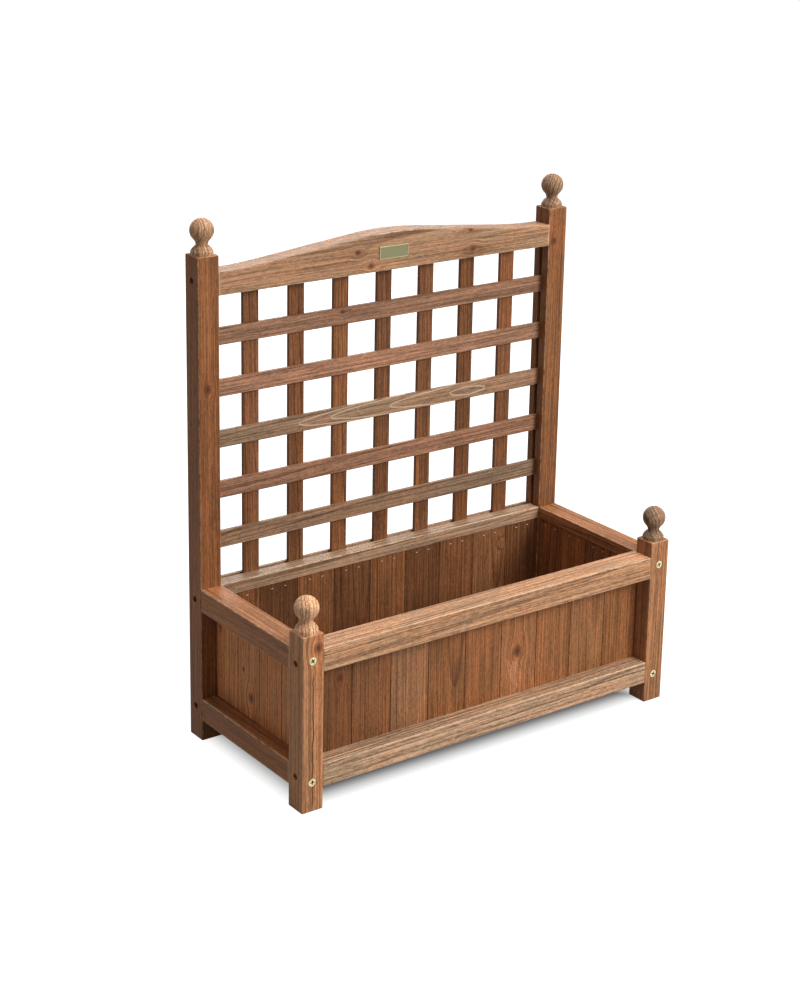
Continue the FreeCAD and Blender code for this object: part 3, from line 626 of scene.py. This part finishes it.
def stained_fir(name, tone, axis, seed, light=1.0, pith=(0.035, 0.022), ring=0.003,
                wander=0.006, lean=0.012, grit=0.5, edge=PALE_EDGE, edge_width=0.0015, knots=(),
                crack=None, loops=None, patch=None, lines=1.0):
    """Stained fir for one piece. Its axis is the way of the grain and its seed the board it is
    cut from; light scales its tone. The pith line lies beside its middle, and knots, a crack,
    loops and a patch sit at places in metres on the whole planter."""
    low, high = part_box(name)
    middle = (low + high) / 2
    material, tree, shader, place = new_material("fir_" + name)
    turned = node(tree, "ShaderNodeMapping", {"vector_type": "TEXTURE"}, Vector=place,
                  Location=middle, Rotation=GRAIN_TURNS[axis]).outputs[0]
    flowing, span, flame = turned, NO_KNOT, 0.0
    for point, radius in knots:
        knot = use_group(tree, KNOT, Position=turned, Radius=radius,
                         Place=along_grain(axis, middle, point))
        flowing = vectors(tree, "SUBTRACT", flowing, knot["Push"])
        span = maths(tree, "MINIMUM", knot["Span"], span)
        flame = maths(tree, "MAXIMUM", knot["Flame"], flame)
    grain = use_group(tree, GRAIN, Position=flowing, Seed=seed, Pith=(0.0, *pith),
                      Ring_Width=ring, Wander=wander, Lean=lean, Knot_Span=span)
    edges = use_group(tree, EDGES, Position=place, Low_Corner=low, High_Corner=high,
                      Width=edge_width)
    split, pale, bare = 0.0, 0.0, 0.0
    if crack is not None:
        point, length = crack
        split = use_group(tree, CRACK, Position=turned, Length=length,
                          Place=along_grain(axis, middle, point))["Crack"]
    if loops is not None:
        pale = use_group(tree, LOOPS, Position=turned,
                         Place=(loops - middle.x, 0.0, 0.0))["Line"]
    if patch is not None:
        point, size = patch
        bare = use_group(tree, PATCH, Position=turned, Size=size,
                         Place=along_grain(axis, middle, point))["Bare"]
    early, late, warm = ((*(channel * light for channel in colour), 1.0) for colour in TONES[tone])
    stain = use_group(tree, STAIN, Early_Colour=early, Late_Colour=late, Warm_Colour=warm,
                      Edge_Colour=edge, Latewood=grain["Latewood"], Fibre=grain["Fibre"],
                      Line_Strength=lines, Grit=grit, Knot=grain["Knot"], Flame=flame,
                      Drift=grain["Drift"], Blotch=grain["Blotch"], Edge=edges["Edge"],
                      Pale_Line=pale, Bare=bare, Crack=split)
    feed(tree, stain["Color"], shader.inputs["Base Color"])
    feed(tree, stain["Roughness"], shader.inputs["Roughness"])
    shader.inputs["Specular IOR Level"].default_value = WOOD_GLOSS
    bump = node(tree, "ShaderNodeBump", None, Strength=RELIEF_STRENGTH, Distance=WOOD_RELIEF,
                Height=grain["Height"])
    feed(tree, bump.outputs[0], shader.inputs["Normal"])
    dress(nodes[name], material)


# %% [markdown]
# ## Posts
# Each post is one square stick, sawn from beside the heart of its log. One material could
# cover all four, but then the same lines would show on each, so every post gets its own log:
# a seed, a tone and a pith line. Its years run up the post as nearly straight lines on the
# faces that cut them edge on.

# %% Posts
POST_SEED = 11.0
# The tone and its light, the pith, the width of a year, the width of the worn edge.
POSTS = {
    "front_left_post": ("amber", 1.1, (0.09, 0.06), 0.0036, 0.0011),
    "front_right_post": ("amber", 0.84, (0.08, -0.05), 0.0036, 0.0011),
    "rear_left_post": ("chestnut", 0.80, (0.03, 0.09), 0.0038, 0.0010),
    "rear_right_post": ("chestnut", 0.86, (0.07, -0.06), 0.0036, 0.0011),
}
POST_KNOTS = {
    "front_left_post": [((-0.2935, -0.144, 0.2310), 0.0080)],
    "rear_left_post": [((-0.3032, 0.111, 0.5128), 0.0060)],
    "rear_right_post": [((0.2945, 0.111, 0.6464), 0.0055)],
}
POST_CRACKS = {"front_left_post": ((-0.3010, -0.144, 0.1000), 0.105)}
for order, (name, (tone, light, pith, ring, edge_width)) in enumerate(POSTS.items()):
    stained_fir(name, tone, "Z", POST_SEED + order, light=light, pith=pith, ring=ring,
                edge=POST_EDGE, edge_width=edge_width, knots=POST_KNOTS.get(name, ()),
                crack=POST_CRACKS.get(name))
print(f"{len(POSTS)} posts stained")

# %% [markdown]
# ## Finials
# The balls are turned from short lengths of the same wood, grain upright, so the years show
# as bold stripes that close round the ball. Stripes wrapped round a ball by its own angles
# would pinch at the top; the rings of a log cut through it don't. The heart lies well to one
# side of each.

# %% Finials
FINIAL_SEED = 21.0
# The tone and its light, the pith, the width of a year, the lean of the years.
FINIALS = {
    "front_left_finial": ("tan", 1.55, (-0.032, 0.044), 0.0034, 0.0),
    "front_right_finial": ("drift", 0.70, (-0.022, 0.030), 0.0046, 0.30),
    "rear_left_finial": ("tan", 1.15, (-0.008, 0.022), 0.0036, -0.20),
    "rear_right_finial": ("tan", 0.80, (0.014, -0.026), 0.0036, 0.30),
}
for order, (name, (tone, light, pith, ring, lean)) in enumerate(FINIALS.items()):
    stained_fir(name, tone, "Z", FINIAL_SEED + order, light=light, pith=pith, ring=ring,
                lean=lean, wander=0.003, lines=1.3)
print(f"{len(FINIALS)} finials stained")

# %% [markdown]
# ## Rails
# The rails frame the trough. The two in front get the light and the most handling, so they
# are the palest, and their sawn faces show long wavy lines. The waves come from letting the
# distance to the pith wander more than in the posts, which costs nothing, where a drawn line
# would need a curve for each.

# %% Rails
RAIL_SEED = 31.0
# The tone, the way of the grain, the light, the strength of the fibres.
RAILS = {
    "front_top_rail": ("tan", "X", 0.95, 0.60),
    "front_bottom_rail": ("drift", "X", 1.12, 0.65),
    "rear_top_rail": ("drift", "X", 0.88, 0.50),
    "rear_bottom_rail": ("chestnut", "X", 1.00, 0.50),
    "left_top_rail": ("russet", "Y", 0.90, 0.50),
    "left_bottom_rail": ("chestnut", "Y", 1.05, 0.50),
    "right_top_rail": ("russet", "Y", 0.92, 0.50),
    "right_bottom_rail": ("chestnut", "Y", 1.00, 0.50),
    "arched_top_rail": ("tan", "X", 0.73, 0.52),
}
RAIL_KNOTS = {
    "arched_top_rail": [((-0.061, 0.111, 0.6714), 0.0046), ((-0.0386, 0.111, 0.6501), 0.0055),
                        ((0.1369, 0.111, 0.6827), 0.0046), ((0.1416, 0.111, 0.6526), 0.0062)],
}
for order, (name, (tone, axis, light, grit)) in enumerate(RAILS.items()):
    stained_fir(name, tone, axis, RAIL_SEED + order, light=light, pith=(0.050, 0.040),
                ring=0.0042, wander=0.013, lean=0.02, grit=grit, lines=0.85,
                knots=RAIL_KNOTS.get(name, ()))
print(f"{len(RAILS)} rails stained")

# %% [markdown]
# ## Planks
# The walls are short upright planks of different tone, some cut edge on, with straight close
# lines, and some cut flat, with wide arches. The two cuts could be two materials; here only the
# place of the pith differs, behind the face for a flat cut and far to the side for the other, and
# the rings do the rest. A few planks have a knot. Dirt darkens their joints. The planks of the
# left wall are painted much lighter than their tone: painted light, in place of the light that the
# white floor throws back up onto that side.

# %% Planks
PLANK_SEED = 41.0
# The pith, behind the face and beside the plank, and the width of a year.
FLAT_CUT = (0.055, 0.016, 0.0036)
EDGE_CUT = (0.030, 0.110, 0.0042)
# The tone and its light, plank by plank. On the left wall the light is painted light: it lifts the
# planks to stand in for the bounce from the floor.
PLANKS = {
    "front_plank": [("chestnut", 0.62), ("chestnut", 0.84), ("amber", 0.72), ("chestnut", 0.92),
                    ("chestnut", 1.02), ("russet", 0.88), ("chestnut", 1.12), ("russet", 0.78),
                    ("chestnut", 1.04)],
    "rear_plank": [("chestnut", 0.72), ("umber", 0.62), ("chestnut", 0.82), ("umber", 0.66),
                   ("chestnut", 0.80), ("umber", 0.68), ("chestnut", 0.76), ("russet", 0.62),
                   ("umber", 0.74)],
    "left_plank": [("russet", 1.55), ("chestnut", 2.05), ("russet", 1.50), ("russet", 1.60)],
    "right_plank": [("chestnut", 1.05), ("umber", 1.15), ("chestnut", 1.0), ("umber", 1.15)],
}
LONG_WALLS = ("front_plank", "rear_plank")
PLANK_KNOTS = {
    "front_plank_6": [((0.0606, -0.117, 0.1280), 0.0085)],
    "front_plank_1": [((-0.2407, -0.117, 0.1648), 0.0050)],
    "left_plank_3": [((-0.2925, 0.0407, 0.1300), 0.0045), ((-0.2925, 0.0215, 0.0950), 0.0080)],
    "rear_plank_8": [((0.2108, 0.100, 0.1842), 0.0050)],
}
PLANK_PATCHES = {"front_plank_6": ((0.0560, -0.117, 0.0960), 0.020)}
total = 0
for wall, tones in PLANKS.items():
    for index, (tone, light) in enumerate(tones):
        name = f"{wall}_{index + 1}"
        behind, beside, ring = FLAT_CUT if index % 4 == 3 else EDGE_CUT
        pith = (behind, beside) if wall in LONG_WALLS else (beside, behind)
        stained_fir(name, tone, "Z", PLANK_SEED + total, light=light, pith=pith, lean=0.02,
                    ring=ring, wander=0.004, lines=0.8, edge=DIRTY_JOINT, edge_width=0.0008,
                    knots=PLANK_KNOTS.get(name, ()), patch=PLANK_PATCHES.get(name))
        total += 1
print(f"{total} planks stained")

# %% [markdown]
# ## Trellis
# The trellis is thin slats, ripped from the same boards: uprights behind, cross slats in
# front. A slat is too thin for a worn pale edge to show, so its edges are a little darker
# instead. All slats share one recipe, and the pith moves a little from each to the next, so
# that no two show the same lines.

# %% Slats
# The tone and its light, slat by slat.
UPRIGHTS = [("umber", 0.98), ("chestnut", 0.64), ("chestnut", 0.80), ("umber", 0.92),
            ("umber", 0.98), ("chestnut", 0.62), ("umber", 0.94)]
CROSS_SLATS = [("drift", 0.64), ("rose", 0.80), ("drift", 0.68), ("rose", 0.85),
               ("rose", 0.80)]
SLAT_KNOTS = {
    "trellis_cross_slat_5": [((-0.0756, 0.1255, 0.5855), 0.0045)],
    "trellis_cross_slat_4": [((-0.2601, 0.1255, 0.5317), 0.0045)],
}
SLAT_LOOPS = {"trellis_cross_slat_3": 0.150}
PITH_STEP = 0.008
for stem, axis, seed, tones in (("trellis_upright", "Z", 151.0, UPRIGHTS),
                                ("trellis_cross_slat", "X", 131.0, CROSS_SLATS)):
    for index, (tone, light) in enumerate(tones):
        name = f"{stem}_{index + 1}"
        stained_fir(name, tone, axis, seed + index, light=light,
                    pith=(0.050, 0.030 + PITH_STEP * index), wander=0.009, lean=0.02,
                    ring=0.0036, edge=SLAT_EDGE, edge_width=0.0009,
                    knots=SLAT_KNOTS.get(name, ()), loops=SLAT_LOOPS.get(name))
print(f"{len(UPRIGHTS) + len(CROSS_SLATS)} slats stained")

# %% [markdown]
# ## Floor of the trough
# The floor boards lie across two cleats, hidden in normal use but seen from above. All the
# boards are one node of the model, so one material covers them, and the grain wanders widely
# to keep the boards from looking alike.

# %% Floor boards and cleats
stained_fir("floor_boards", "umber", "Y", 101.0, light=1.2, pith=(0.06, 0.01), wander=0.02)
stained_fir("floor_cleats", "umber", "X", 102.0)
print("floor stained")

# %% [markdown]
# ## Metal
# The screws and the little plate are old brass: yellow and a little dull. The brads are
# zinc-coated steel wire. A metal with one roughness all over looks like plastic film, so a shared
# group lays a cloudy film and fine specks over both, and darkens the hollows it is given: painted
# shade in the crosses of the screw heads, a darker, duller sunken field on the plate.

# %% Group: tarnish and painted shade
FILM_SCALE, FILM_STEP, FILM_SHARE = 90.0, (0.4, 0.75), 0.5
SPECK_SCALE = 400.0
POLISHED, SPECK_ROUGHNESS, FILM_ROUGHNESS = 0.2, 0.2, 0.25


def build_tarnish_and_shade():
    """Cloudy spots on metal: slow noise for the film and fine noise for its specks."""
    group, given, out = new_group("tarnish_and_shade", [
        ("Position", "Vector", (0, 0, 0)),
        ("Clean Colour", "Color", (0.8, 0.6, 0.3, 1)),
        ("Dull Colour", "Color", (0.4, 0.3, 0.15, 1)),
        ("Dullness", "Float", 0.0),
    ], [("Color", "Color"), ("Roughness", "Float"), ("Height", "Float")])
    film = cloud(group, given["Position"], FILM_SCALE, 3.0, 0.6)
    specks = cloud(group, given["Position"], SPECK_SCALE, 2.0, 0.6)
    # The darkening given from outside is added to the film: in the screws' crosses it is painted
    # shade.
    amount = maths(group, "ADD", maths(
        group, "MULTIPLY", smooth(group, film, *FILM_STEP), FILM_SHARE),
                   given["Dullness"], clamp=True)
    feed(group, blended(group, amount, given["Clean Colour"], given["Dull Colour"]), out["Color"])
    feed(group, maths(group, "MULTIPLY_ADD", amount, FILM_ROUGHNESS, maths(
        group, "MULTIPLY_ADD", specks, SPECK_ROUGHNESS, POLISHED)), out["Roughness"])
    feed(group, specks, out["Height"])
    return group


TARNISH = build_tarnish_and_shade()
print(f"{TARNISH.name}: {len(TARNISH.nodes)} steps")


# %% Metal finish
SPECK_RELIEF, SPECK_STRENGTH = 0.0001, 0.3


def metal(name, clean, dull_and_shade, metallic, hollow):
    """A metal finish from the tarnish group; hollow makes a mask that darkens the low places:
    painted shade in the crosses of the screws, a darker, duller field on the plate.
    """
    material, tree, shader, place = new_material(name)
    film = use_group(tree, TARNISH, Position=place, Clean_Colour=(*clean, 1.0),
                     Dull_Colour=(*dull_and_shade, 1.0), Dullness=hollow(tree, place))
    feed(tree, film["Color"], shader.inputs["Base Color"])
    feed(tree, film["Roughness"], shader.inputs["Roughness"])
    shader.inputs["Metallic"].default_value = metallic
    bump = node(tree, "ShaderNodeBump", None, Strength=SPECK_STRENGTH, Distance=SPECK_RELIEF,
                Height=film["Height"])
    feed(tree, bump.outputs[0], shader.inputs["Normal"])
    return material


# %% [markdown]
# ## Hollows in the metal
# The crosses in the screw heads are painted near black: painted shade, where the cross holds
# shadow. The field of the plate is painted darker and duller than its border. Ambient occlusion
# would find such shade, but it is slow and doesn't bake well. Their depth is known from the model:
# a head in a post's face lies at the front or rear of the whole, and a sunk one a little way in
# from the side, so two limits on the distance from the middle tell the head from its cross. The
# plate's field lies half a millimetre behind its border.

# %% Screws, brads and plate
FACE_HEAD_Y = 0.1434
SUNK_HEAD_X = 0.3055
HEAD_SKIN = 0.0002
PLATE_FACE_Y = 0.1096
PLATE_RECESS = 0.0005


def in_the_cross(tree, place):
    """1 below the skin of every screw head, where the cross is painted dark as painted shade; 0 on
    it.
    """
    reach = numbers(tree, vectors(tree, "ABSOLUTE", place))
    return maths(tree, "MULTIPLY",
                 maths(tree, "LESS_THAN", reach["Y"], FACE_HEAD_Y - HEAD_SKIN),
                 maths(tree, "LESS_THAN", reach["X"], SUNK_HEAD_X - HEAD_SKIN))


def in_the_field(tree, place):
    """1 on the plate's sunken field, 0 on its border."""
    return smooth(tree, numbers(tree, place)["Y"], PLATE_FACE_Y + 0.1 * PLATE_RECESS,
                  PLATE_FACE_Y + 0.8 * PLATE_RECESS)


def nowhere(tree, place):
    """No hollow at all."""
    return 0.0


# The finish, its clean and dull colours, how metallic it is, where it is hollow. The screws' dull
# colour is near black: in their crosses it is painted shade.
METALS = {
    "frame_screws": ("screw_brass", (0.72, 0.62, 0.36), (0.06, 0.05, 0.03), 0.8, in_the_cross),
    "brads": ("brad_steel", (0.75, 0.73, 0.68), (0.35, 0.32, 0.28), 0.4, nowhere),
    "name_plate": ("plate_brass", (0.40, 0.37, 0.20), (0.17, 0.16, 0.085), 0.7, in_the_field),
}
for name, finish in METALS.items():
    dress(nodes[name], metal(*finish))
print(f"{len(METALS)} metal pieces finished")

# %% [markdown]
# ## Studio floor
# The planter stands on a white studio floor. A floor lit until it is white would throw a lot of
# light back up at the wood. Here the floor itself is a dim grey, and it looks white to the camera
# by its own glow, which lights nothing and stops under the planter, so the soft shadow there
# stays. The glow is painted light: it covers the planter's shadow beyond its footprint, and its
# ramp, which starts six centimetres inside the footprint, paints the soft edge of the shadow that
# stays.

# %% Studio floor
FLOOR_HALF = 14.0
FLOOR_GREY = (0.26, 0.26, 0.26, 1)
WHITE = (1, 1, 1, 1)
# The glow's ramp across the edge of the footprint is painted light: it sets where the shadow fades
# to white.
GLOW_FROM, GLOW_TO = -0.060, 0.006


def seen_directly(tree):
    """1 for rays from the camera, also by way of a shine or glass; 0 for spread light."""
    ray = node(tree, "ShaderNodeLightPath").outputs
    return maths(tree, "MAXIMUM", ray["Is Camera Ray"], maths(
        tree, "MAXIMUM", ray["Is Glossy Ray"], ray["Is Transmission Ray"]))


def footprint_distance(tree, place):
    """Metres from a point of the floor to the edge of the planter's box, negative under it:
    outside, the length of what goes past each side; inside, the gap to the nearest side."""
    low, high = (Vector(corner) for corner in cad_box)
    half = (high - low) / 2
    beyond = vectors(tree, "SUBTRACT", vectors(tree, "ABSOLUTE", place), (half.x, half.y, 0.0))
    outside = vectors(tree, "LENGTH", vectors(tree, "MAXIMUM", beyond, (0.0, 0.0, 0.0)))
    sides = numbers(tree, beyond)
    inside = maths(tree, "MINIMUM", maths(tree, "MAXIMUM", sides["X"], sides["Y"]), 0.0)
    return maths(tree, "ADD", outside, inside)


def floor_material():
    """A matt grey, plus a white glow for the camera that grows away from the planter: painted
    light that covers its shadow outside the footprint.
    """
    material = bpy.data.materials.new("studio_floor")
    material.use_nodes = True
    tree = material.node_tree
    tree.nodes.clear()
    place = node(tree, "ShaderNodeTexCoord").outputs["Object"]
    glow = smooth(tree, footprint_distance(tree, place), GLOW_FROM, GLOW_TO)
    matt = node(tree, "ShaderNodeBsdfDiffuse", None, Color=FLOOR_GREY)
    shine = node(tree, "ShaderNodeEmission", None, Color=WHITE,
                 Strength=maths(tree, "MULTIPLY", glow, seen_directly(tree)))
    both = node(tree, "ShaderNodeAddShader")
    feed(tree, matt.outputs[0], both.inputs[0])
    feed(tree, shine.outputs[0], both.inputs[1])
    feed(tree, both.outputs[0], node(tree, "ShaderNodeOutputMaterial").inputs["Surface"])
    return material


def build_floor():
    """A square floor, level with the planter's feet."""
    corners = np.array([(-1, -1, 0), (1, -1, 0), (1, 1, 0), (-1, 1, 0)], float) * FLOOR_HALF
    mesh = bpy.data.meshes.new("studio_floor")
    mesh.from_pydata(corners.tolist(), [], [(0, 1, 2, 3)])
    piece = bpy.data.objects.new("studio_floor", mesh)
    scene.collection.objects.link(piece)
    mesh.materials.append(floor_material())


build_floor()
print(f"floor {2 * FLOOR_HALF:.0f} m wide")

# %% [markdown]
# ## Light
# The photograph has soft studio light: bright on the front and the tops, darker on the left.
# Three large square lamps make it, the main one high on the right in front, a wide one
# overhead and a weak one behind. A sun or a spot would draw hard shadows of the slats. The
# world fills the shadows with a weak even light, and is white where the camera sees it.

# %% Lamps and world
# The place, the size in metres, the watts.
LAMPS = {
    "main_lamp": ((1.2, -2.55, 1.9), 1.3, 97),
    "top_lamp": ((0.2, -0.3, 3.0), 2.0, 64),
    "rear_lamp": ((1.0, 2.6, 1.3), 1.6, 42),
}
LAMP_TARGET = Vector((0, 0, 0.3))
FILL = 0.275


def softbox(name, place, size, watts):
    """A square area lamp that faces the planter."""
    lamp = bpy.data.lights.new(name, "AREA")
    lamp.shape = "SQUARE"
    lamp.size = size
    lamp.energy = watts
    piece = bpy.data.objects.new(name, lamp)
    scene.collection.objects.link(piece)
    turn = (LAMP_TARGET - Vector(place)).to_track_quat("-Z", "Y")
    piece.matrix_world = Matrix.Translation(place) @ turn.to_matrix().to_4x4()


def build_world():
    """White where it is seen directly, and a weak even light elsewhere."""
    world = bpy.data.worlds.new("studio")
    scene.world = world
    world.use_nodes = True
    tree = world.node_tree
    tree.nodes.clear()
    strength = maths(tree, "MULTIPLY_ADD", seen_directly(tree), 1.0 - FILL, FILL)
    sky = node(tree, "ShaderNodeBackground", None, Color=WHITE, Strength=strength)
    feed(tree, sky.outputs[0], node(tree, "ShaderNodeOutputWorld").inputs["Surface"])


for name, (place, size, watts) in LAMPS.items():
    softbox(name, place, size, watts)
build_world()
scene.view_settings.view_transform = "Standard"
print(f"{len(LAMPS)} lamps and the world set")
